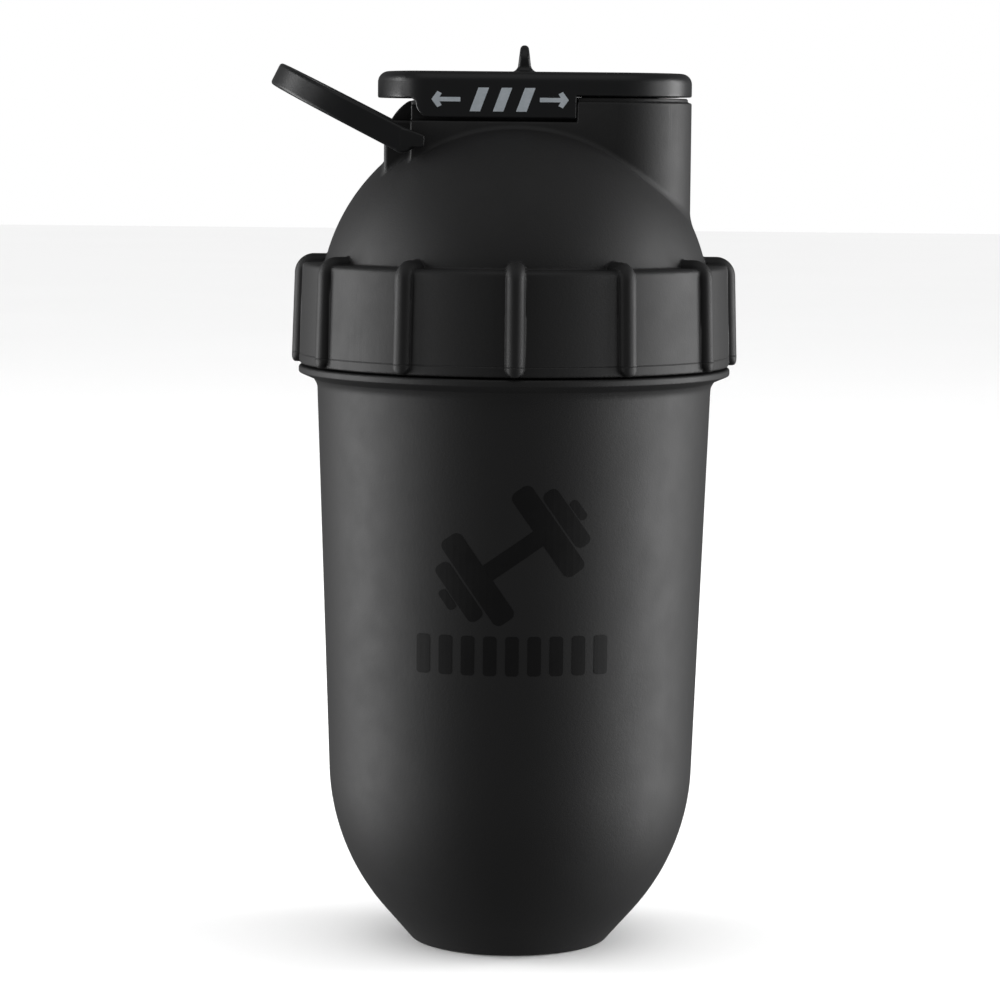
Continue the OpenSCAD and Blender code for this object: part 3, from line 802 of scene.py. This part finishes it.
def make_cup():
    profile = []
    for point in cup_profile():
        before = profile[-1] if profile else point
        rise = point[1] - before[1]
        if on_neck(point[0]) and on_neck(before[0]) and abs(rise) > LONG_ROW:
            count = int(abs(rise) / THREAD_ROW)
            profile += [(NECK_R, before[1] + rise * (k + 1) / count) for k in range(count)]
        else:
            profile.append(point)
    obj = lathe("cup_shell", profile, CUP_COLUMNS, neck_ridges)
    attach(obj, "cup")
    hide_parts("cup")
    return obj


# ---------------------------------------------------------------- ink

INK_T = 0.04
INK_GAP = 0.01
STRIP = 1.5                       # width of the strips that follow the cup's curve
PLATE_STEPS = 8
EMBLEM_TILT = math.radians(35)
HANDLE = (14.0, 4.0, 0.3)         # length, height and corner radius
# Of each weight: distance from the middle, width, height and corner radius
WEIGHTS = ((9.6, 5.4, 23.0, 1.6), (14.7, 3.8, 15.0, 1.4), (17.9, 2.0, 5.0, 0.8))
BAR_COUNT = 9
BAR_STEP = 5.0
BAR_W = 3.0
BAR_CORNER = 0.8
ARROW_LEN = 6.6
ARROW_HEAD = 2.7
ARROW_STROKE = 1.0
ARROWS = ((-16.2, -1), (8.5, 1))  # place and way that each points
SLANTED_X = (-8.6, -3.3, 2.0)
SLANTED_HALF_W = 1.2
SLANTED_HALF_H = 2.7
SLANTED_LEAN = 1.0


def film(name, outlines, place, slice_mm=None):
    """A thin closed film of ink: flat outlines, cut into strips, laid on a surface by place(x, z, lift)."""
    bm = bmesh.new()
    for outline in outlines:
        bm.faces.new([bm.verts.new((x, 0, z)) for x, z in outline])
    if slice_mm:
        xs = [v.co.x for v in bm.verts]
        for k in range(int(min(xs) / slice_mm) - 1, int(max(xs) / slice_mm) + 2):
            bmesh.ops.bisect_plane(bm, geom=bm.verts[:] + bm.edges[:] + bm.faces[:],
                                   plane_co=(k * slice_mm, 0, 0), plane_no=(1, 0, 0))
    bm.normal_update()
    bmesh.ops.triangulate(bm, faces=bm.faces[:], ngon_method="EAR_CLIP")
    flat = [(v.co.x, v.co.z) for v in bm.verts]
    bm.verts.index_update()
    faces = [[v.index for v in f.verts] for f in bm.faces]
    rims = [[e.verts[0].index, e.verts[1].index] for e in bm.edges if e.is_boundary]
    bm.free()
    n = len(flat)
    vertices = [place(x, z, lift) for lift in (INK_GAP + INK_T, INK_GAP) for x, z in flat]
    faces = faces + [[i + n for i in reversed(f)] for f in faces] + [[a, b, b + n, a + n] for a, b in rims]
    obj = new_mesh(name, vertices, faces)
    bm = bmesh.new()
    bm.from_mesh(obj.data)
    bmesh.ops.recalc_face_normals(bm, faces=bm.faces[:])
    bm.to_mesh(obj.data)
    bm.free()
    return obj


def on_cup(x, z, lift):
    """A point on the cup's front wall, seen from the front at (x, z)."""
    wall = math.radians(touch(BOWL_R, *WALL_TOP, -1))
    low_r, low_z = BOWL_C[0] + BOWL_R * math.cos(wall), BOWL_C[1] + BOWL_R * math.sin(wall)
    r = low_r + (WALL_TOP[0] - low_r) * (z - low_z) / (WALL_TOP[1] - low_z) + lift
    return (x, -math.sqrt(r * r - x * x), z)


def on_skirt(x, z, lift):
    return (x, -HOUSING["half"] - lift, z)


def plate(cx, cz, w, h, r, angle=0.0):
    """Outline of a plate with round corners, beside (0, cz) and turned about it."""
    x, z = w / 2 - r, h / 2 - r
    points = []
    for k, (sx, sz) in enumerate(((1, 1), (-1, 1), (-1, -1), (1, -1))):
        points += arc(sx * x, sz * z, r, 90 * k, 90 * (k + 1), PLATE_STEPS)
    c, s = math.cos(angle), math.sin(angle)
    return [((cx + px) * c - pz * s, cz + (cx + px) * s + pz * c) for px, pz in points]


def make_emblem():
    """A plain dumbbell."""
    z = (EMBLEM_LOW[2] + EMBLEM_HIGH[2]) / 2
    parts = [plate(0, z, *HANDLE, EMBLEM_TILT)]
    for side in (-1, 1):
        parts += [plate(side * away, z, w, h, r, EMBLEM_TILT) for away, w, h, r in WEIGHTS]
    obj = film("emblem_film", parts, on_cup, STRIP)
    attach(obj, "cup")
    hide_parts("cup_emblem")
    return obj


def make_label():
    """A row of plain bars."""
    z = (BARS_LOW[2] + BARS_HIGH[2]) / 2
    h = BARS_HIGH[2] - BARS_LOW[2]
    bars = [plate((k - BAR_COUNT // 2) * BAR_STEP, z, BAR_W, h, BAR_CORNER) for k in range(BAR_COUNT)]
    obj = film("label_film", bars, on_cup, STRIP)
    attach(obj, "cup")
    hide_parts("cup_label_bars")
    return obj


def arrow(cx, cz, way):
    tip, head, w = ARROW_LEN / 2, ARROW_HEAD / 2, ARROW_STROKE / 2
    half = [(-tip, w), (tip - head - w, w), (tip - head - 2 * w, head), (tip - head, head + w)]
    points = [(x, -z) for x, z in half] + [(tip, 0)] + half[::-1]
    return [(cx + way * x, cz + z) for x, z in points]


def slanted_bar(cx, cz):
    foot, top = cx - SLANTED_LEAN, cx + SLANTED_LEAN
    low, high = cz - SLANTED_HALF_H, cz + SLANTED_HALF_H
    return [(foot - SLANTED_HALF_W, low), (foot + SLANTED_HALF_W, low),
            (top + SLANTED_HALF_W, high), (top - SLANTED_HALF_W, high)]


def make_cover_print():
    z = (INK_LOW[2] + INK_HIGH[2]) / 2
    parts = [arrow(x, z, way) for x, way in ARROWS] + [slanted_bar(x, z) for x in SLANTED_X]
    obj = film("arrow_film", parts, on_skirt)
    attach(obj, "cover")
    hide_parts("cover_print")
    return obj


# ---------------------------------------------------------------- materials

class Nodes:
    """Short names for building a material."""

    def __init__(self, name):
        self.material = bpy.data.materials.new(name)
        self.material.use_nodes = True
        self.tree = self.material.node_tree
        self.shader = self.tree.nodes["Principled BSDF"]
        self.coords = self.tree.nodes.new("ShaderNodeTexCoord").outputs["Object"]

    def add(self, kind, values=None, **settings):
        node = self.tree.nodes.new("ShaderNode" + kind)
        for key, value in settings.items():
            setattr(node, key, value)
        for key, value in (values or {}).items():
            if isinstance(value, bpy.types.NodeSocket):
                self.tree.links.new(value, node.inputs[key])
            else:
                node.inputs[key].default_value = value
        return node

    def link(self, out, to):
        self.tree.links.new(out, self.shader.inputs[to])

    def noise(self, scale, detail=2.0, rough=0.5, coords=None):
        return self.add("TexNoise", {"Vector": coords or self.coords, "Scale": scale, "Detail": detail,
                                     "Roughness": rough}).outputs["Fac"]

    def fit(self, value, low, high, to_low, to_high):
        return self.add("MapRange", {"Value": value, "From Min": low, "From Max": high,
                                     "To Min": to_low, "To Max": to_high}).outputs["Result"]

    def math(self, how, a, b):
        return self.add("Math", {0: a, 1: b}, operation=how).outputs[0]

    def mix(self, amount, a, b):
        node = self.add("Mix", {"Factor": amount}, data_type="RGBA")
        for key, value in (("A", a), ("B", b)):
            socket = next(s for s in node.inputs if s.name == key and s.type == "RGBA")
            if isinstance(value, bpy.types.NodeSocket):
                self.tree.links.new(value, socket)
            else:
                socket.default_value = value
        return next(s for s in node.outputs if s.type == "RGBA")

    def bump(self, height, strength, distance, after=None):
        values = {"Height": height, "Strength": strength, "Distance": distance}
        if after:
            values["Normal"] = after
        return self.add("Bump", values).outputs["Normal"]


# Scales of the textures, in repeats per metre, and depths of the bumps, in metres
FLOW_SCALE = 18
SMUDGE_SCALE = 32
MOTTLE_SCALE = 140
# Scale of the noise that makes the painted edge highlight patchy
HIGHLIGHT_SCALE = 260
LUMP_SCALE = 900
LUMP_DEPTH = 0.00012
GRAIN_SCALE = 2600.0
GRAIN_DEPTH = 0.00006
SEAM_Z = 138.3                    # of the cap's fine mould line, in millimetres
SEAM_HALF_WIDTH = 0.00018
FLOW_LIGHTER = 1.12
SMUDGE_SHINE = 0.02
# Painted edge highlight: how far outside edges are lightened toward the highlight colour
HIGHLIGHT_STRENGTH = 0.5
# How much glossier the outside edges under the painted highlight are
EDGE_GLOSS = 0.1


def grey(value):
    return (value, value, value, 1)


def moulded_black(name, colour, highlight_colour, roughness, grain, wear_edges=True, seam_mm=None):
    """Moulded plastic: fine grain, soft flow marks, faint handling marks, and outside edges that are
    glossier and carry a painted highlight.
    seam_mm is the height of a fine mould line round the piece."""
    m = Nodes(name)
    lighter = tuple(c * FLOW_LIGHTER for c in colour[:3]) + (1,)
    base = m.mix(m.fit(m.noise(FLOW_SCALE, 3, 0.6), 0.35, 0.65, 0, 1), colour, lighter)
    rough = m.fit(m.noise(MOTTLE_SCALE, 3, 0.6), 0.3, 0.7, roughness - 0.025, roughness + 0.03)
    smudge = m.fit(m.noise(SMUDGE_SCALE, 4, 0.65), 0.48, 0.75, 0, 1)
    rough = m.math("SUBTRACT", rough, m.math("MULTIPLY", smudge, SMUDGE_SHINE))
    if wear_edges:
        # Painted highlight on outside edges: colour lightened toward the highlight colour, and lower
        # roughness there
        edge = m.add("Attribute", attribute_name="edge").outputs["Fac"]
        highlight = m.math("MULTIPLY", edge, m.fit(m.noise(HIGHLIGHT_SCALE, 3, 0.7), 0.35, 0.65, 0.25, 0.9))
        base = m.mix(m.math("MULTIPLY", highlight, HIGHLIGHT_STRENGTH), base, highlight_colour)
        rough = m.math("SUBTRACT", rough, m.math("MULTIPLY", highlight, EDGE_GLOSS))
    m.link(base, "Base Color")
    m.link(rough, "Roughness")
    cells = m.add("TexVoronoi", {"Vector": m.coords, "Scale": GRAIN_SCALE}, feature="SMOOTH_F1")
    normal = m.bump(cells.outputs["Distance"], grain, GRAIN_DEPTH)
    normal = m.bump(m.noise(LUMP_SCALE, 2, 0.5), grain * 0.7, LUMP_DEPTH, normal)
    if seam_mm:
        height = m.add("SeparateXYZ", {"Vector": m.coords}).outputs["Z"]
        away = m.math("ABSOLUTE", m.math("SUBTRACT", height, seam_mm / MM), 0)
        normal = m.bump(m.fit(away, 0, SEAM_HALF_WIDTH, 0, 1), 0.6, SEAM_HALF_WIDTH, normal)
    m.link(normal, "Normal")
    return m.material


def silicone():
    m = Nodes("silicone_seal")
    m.link(m.mix(m.fit(m.noise(60, 3), 0.35, 0.65, 0, 1), grey(0.11), grey(0.14)), "Base Color")
    m.link(m.fit(m.noise(300, 3), 0.3, 0.7, 0.55, 0.68), "Roughness")
    m.link(m.bump(m.noise(1500, 2), 0.2, 0.0001), "Normal")
    m.shader.inputs["Subsurface Weight"].default_value = 0.05
    return m.material


def ink(name, colour, thin, roughness, shine):
    """Printed ink, a little thinner where the pad lifted."""
    m = Nodes(name)
    m.shader.inputs["Specular IOR Level"].default_value = shine
    patch = m.fit(m.noise(520, 4, 0.7), 0.42, 0.62, 0, 1)
    m.link(m.mix(patch, thin, colour), "Base Color")
    m.link(m.fit(m.noise(240, 2), 0.3, 0.7, roughness - 0.05, roughness + 0.05), "Roughness")
    m.link(m.bump(m.noise(2400, 2), 0.15, 0.00005), "Normal")
    return m.material


def paint(obj, material):
    obj.data.materials.clear()
    obj.data.materials.append(material)


# ---------------------------------------------------------------- studio

FLOOR_REACH = 6.0
FLOOR_GAP = 0.0002                # under the bottle's foot
FILL = 0.12
SOFTBOX_AWAY = 1.3
SOFTBOX_HEIGHT = 0.12
LEFT_SHARE = 0.88                 # the left side is lit a little less
# Name, degrees round from the camera's direction, width and height, power
SOFTBOXES = (("softbox", 101, (0.55, 1.3), 14.5), ("side_fill", 72, (0.6, 1.2), 4.5))
OVERHEAD_PLACE = (0, -0.55, 1.4)
OVERHEAD_TARGET = (0, 0, 0.15)
OVERHEAD_SIZE = (1.3, 1.3)
OVERHEAD_POWER = 1.8
WASH_POWER = 2.9
WASH_SPREAD = math.radians(150)


def area_light(name, place, target, size, power):
    light = bpy.data.lights.new(name, "AREA")
    light.shape = "RECTANGLE"
    light.size, light.size_y = size
    light.energy = power
    obj = bpy.data.objects.new(name, light)
    obj.location = place
    obj.rotation_euler = (Vector(target) - Vector(place)).to_track_quat("-Z", "Y").to_euler()
    obj.visible_camera = False
    bpy.context.scene.collection.objects.link(obj)


def make_floor():
    """A white floor, which shows the bottle's contact shadow but lights nothing."""
    mesh = bpy.data.meshes.new("floor")
    corners = [(x * FLOOR_REACH, y * FLOOR_REACH, 0) for x, y in ((-1, -1), (1, -1), (1, 1), (-1, 1))]
    mesh.from_pydata(corners, [], [range(4)])
    floor = bpy.data.objects.new("floor", mesh)
    floor.location = (0, 0, CAD_BOX[0][2] - FLOOR_GAP)
    floor.visible_diffuse = False
    floor.visible_glossy = False
    floor.visible_shadow = False
    bpy.context.scene.collection.objects.link(floor)
    m = Nodes("studio_floor")
    m.link(m.mix(m.noise(3, 2), grey(0.86), grey(0.88)), "Base Color")
    m.shader.inputs["Roughness"].default_value = 0.9
    m.shader.inputs["Specular IOR Level"].default_value = 0.0
    mesh.materials.append(m.material)
    return floor


def make_world():
    """White where the camera sees it, and a faint fill for everything else."""
    world = bpy.data.worlds.new("studio")
    world.use_nodes = True
    tree = world.node_tree
    seen = tree.nodes["Background"]
    seen.inputs["Color"].default_value = (1, 1, 1, 1)
    fill = tree.nodes.new("ShaderNodeBackground")
    fill.inputs["Color"].default_value = (1, 1, 1, 1)
    fill.inputs["Strength"].default_value = FILL
    path = tree.nodes.new("ShaderNodeLightPath")
    blend = tree.nodes.new("ShaderNodeMixShader")
    tree.links.new(path.outputs["Is Camera Ray"], blend.inputs["Fac"])
    tree.links.new(fill.outputs[0], blend.inputs[1])
    tree.links.new(seen.outputs[0], blend.inputs[2])
    tree.links.new(blend.outputs[0], tree.nodes["World Output"].inputs["Surface"])
    bpy.context.scene.world = world


def make_studio():
    """Tall softboxes at the bottle's sides, a weak one overhead, and a soft light for the floor alone."""
    floor = make_floor()
    make_world()
    for name, around, size, power in SOFTBOXES:
        for side, side_name, share in ((-1, "left", LEFT_SHARE), (1, "right", 1.0)):
            angle = math.radians(side * around)
            place = (SOFTBOX_AWAY * math.sin(angle), -SOFTBOX_AWAY * math.cos(angle), SOFTBOX_HEIGHT)
            area_light(f"{side_name}_{name}", place, (0, 0, SOFTBOX_HEIGHT), size, share * power)
    area_light("overhead", OVERHEAD_PLACE, OVERHEAD_TARGET, OVERHEAD_SIZE, OVERHEAD_POWER)
    sun = bpy.data.lights.new("floor_wash", "SUN")
    sun.energy = WASH_POWER
    sun.angle = WASH_SPREAD
    wash = bpy.data.objects.new("floor_wash", sun)
    bpy.context.scene.collection.objects.link(wash)
    only_floor = bpy.data.collections.new("floor_only")
    only_floor.objects.link(floor)
    wash.light_linking.receiver_collection = only_floor


AIM = (-0.0030, 0.0, 0.1038)
CAMERA_TILT = math.radians(5.84)
CAMERA_DISTANCE = 0.8587
CAMERA_ROLL = math.radians(0.55)
SENSOR_MM = 36
LENS_MM = 131.4
NEAREST = 0.05


def make_camera():
    data = bpy.data.cameras.new("camera")
    data.sensor_width = SENSOR_MM
    data.lens = LENS_MM
    data.clip_start = NEAREST
    obj = bpy.data.objects.new("camera", data)
    away = Vector((0, -math.cos(CAMERA_TILT), math.sin(CAMERA_TILT)))
    look = (-away).to_track_quat("-Z", "Y").to_matrix() @ Matrix.Rotation(CAMERA_ROLL, 3, "Z")
    obj.matrix_world = Matrix.Translation(Vector(AIM) + away * CAMERA_DISTANCE) @ look.to_4x4()
    bpy.context.scene.collection.objects.link(obj)
    bpy.context.scene.camera = obj


# ---------------------------------------------------------------- the bottle

bpy.context.scene.view_settings.view_transform = "Standard"
make_camera()
make_studio()

# The lighter grey given with the colour is the painted highlight laid on outside edges
SOFT_TOUCH = dict(colour=(0.017, 0.017, 0.0175, 1), highlight_colour=grey(0.045), roughness=0.56, grain=0.22)
SATIN = dict(colour=(0.011, 0.0115, 0.0125, 1), highlight_colour=grey(0.03), roughness=0.38, grain=0.08)

soft_touch = moulded_black("soft_touch_black", **SOFT_TOUCH, seam_mm=SEAM_Z)
cup_plastic = moulded_black("soft_touch_cup", **SOFT_TOUCH, wear_edges=False)
satin = moulded_black("satin_black", **SATIN)
seal = silicone()
tone = ink("tone_ink", (0.006, 0.006, 0.0063, 1), (0.007, 0.007, 0.0073, 1), 0.5, 0.3)
pale = ink("grey_ink", (0.86, 0.93, 1.0, 1), (0.76, 0.84, 0.90, 1), 0.5, 0.5)

paint(make_cup(), cup_plastic)
paint(make_screw_cap(), soft_touch)
paint(make_slide_cover(), satin)
paint(make_carry_loop(), satin)
paint(make_rim_seal(), seal)
paint(make_mouth_seal(), seal)
paint(make_emblem(), tone)
paint(make_label(), tone)
paint(make_cover_print(), pale)
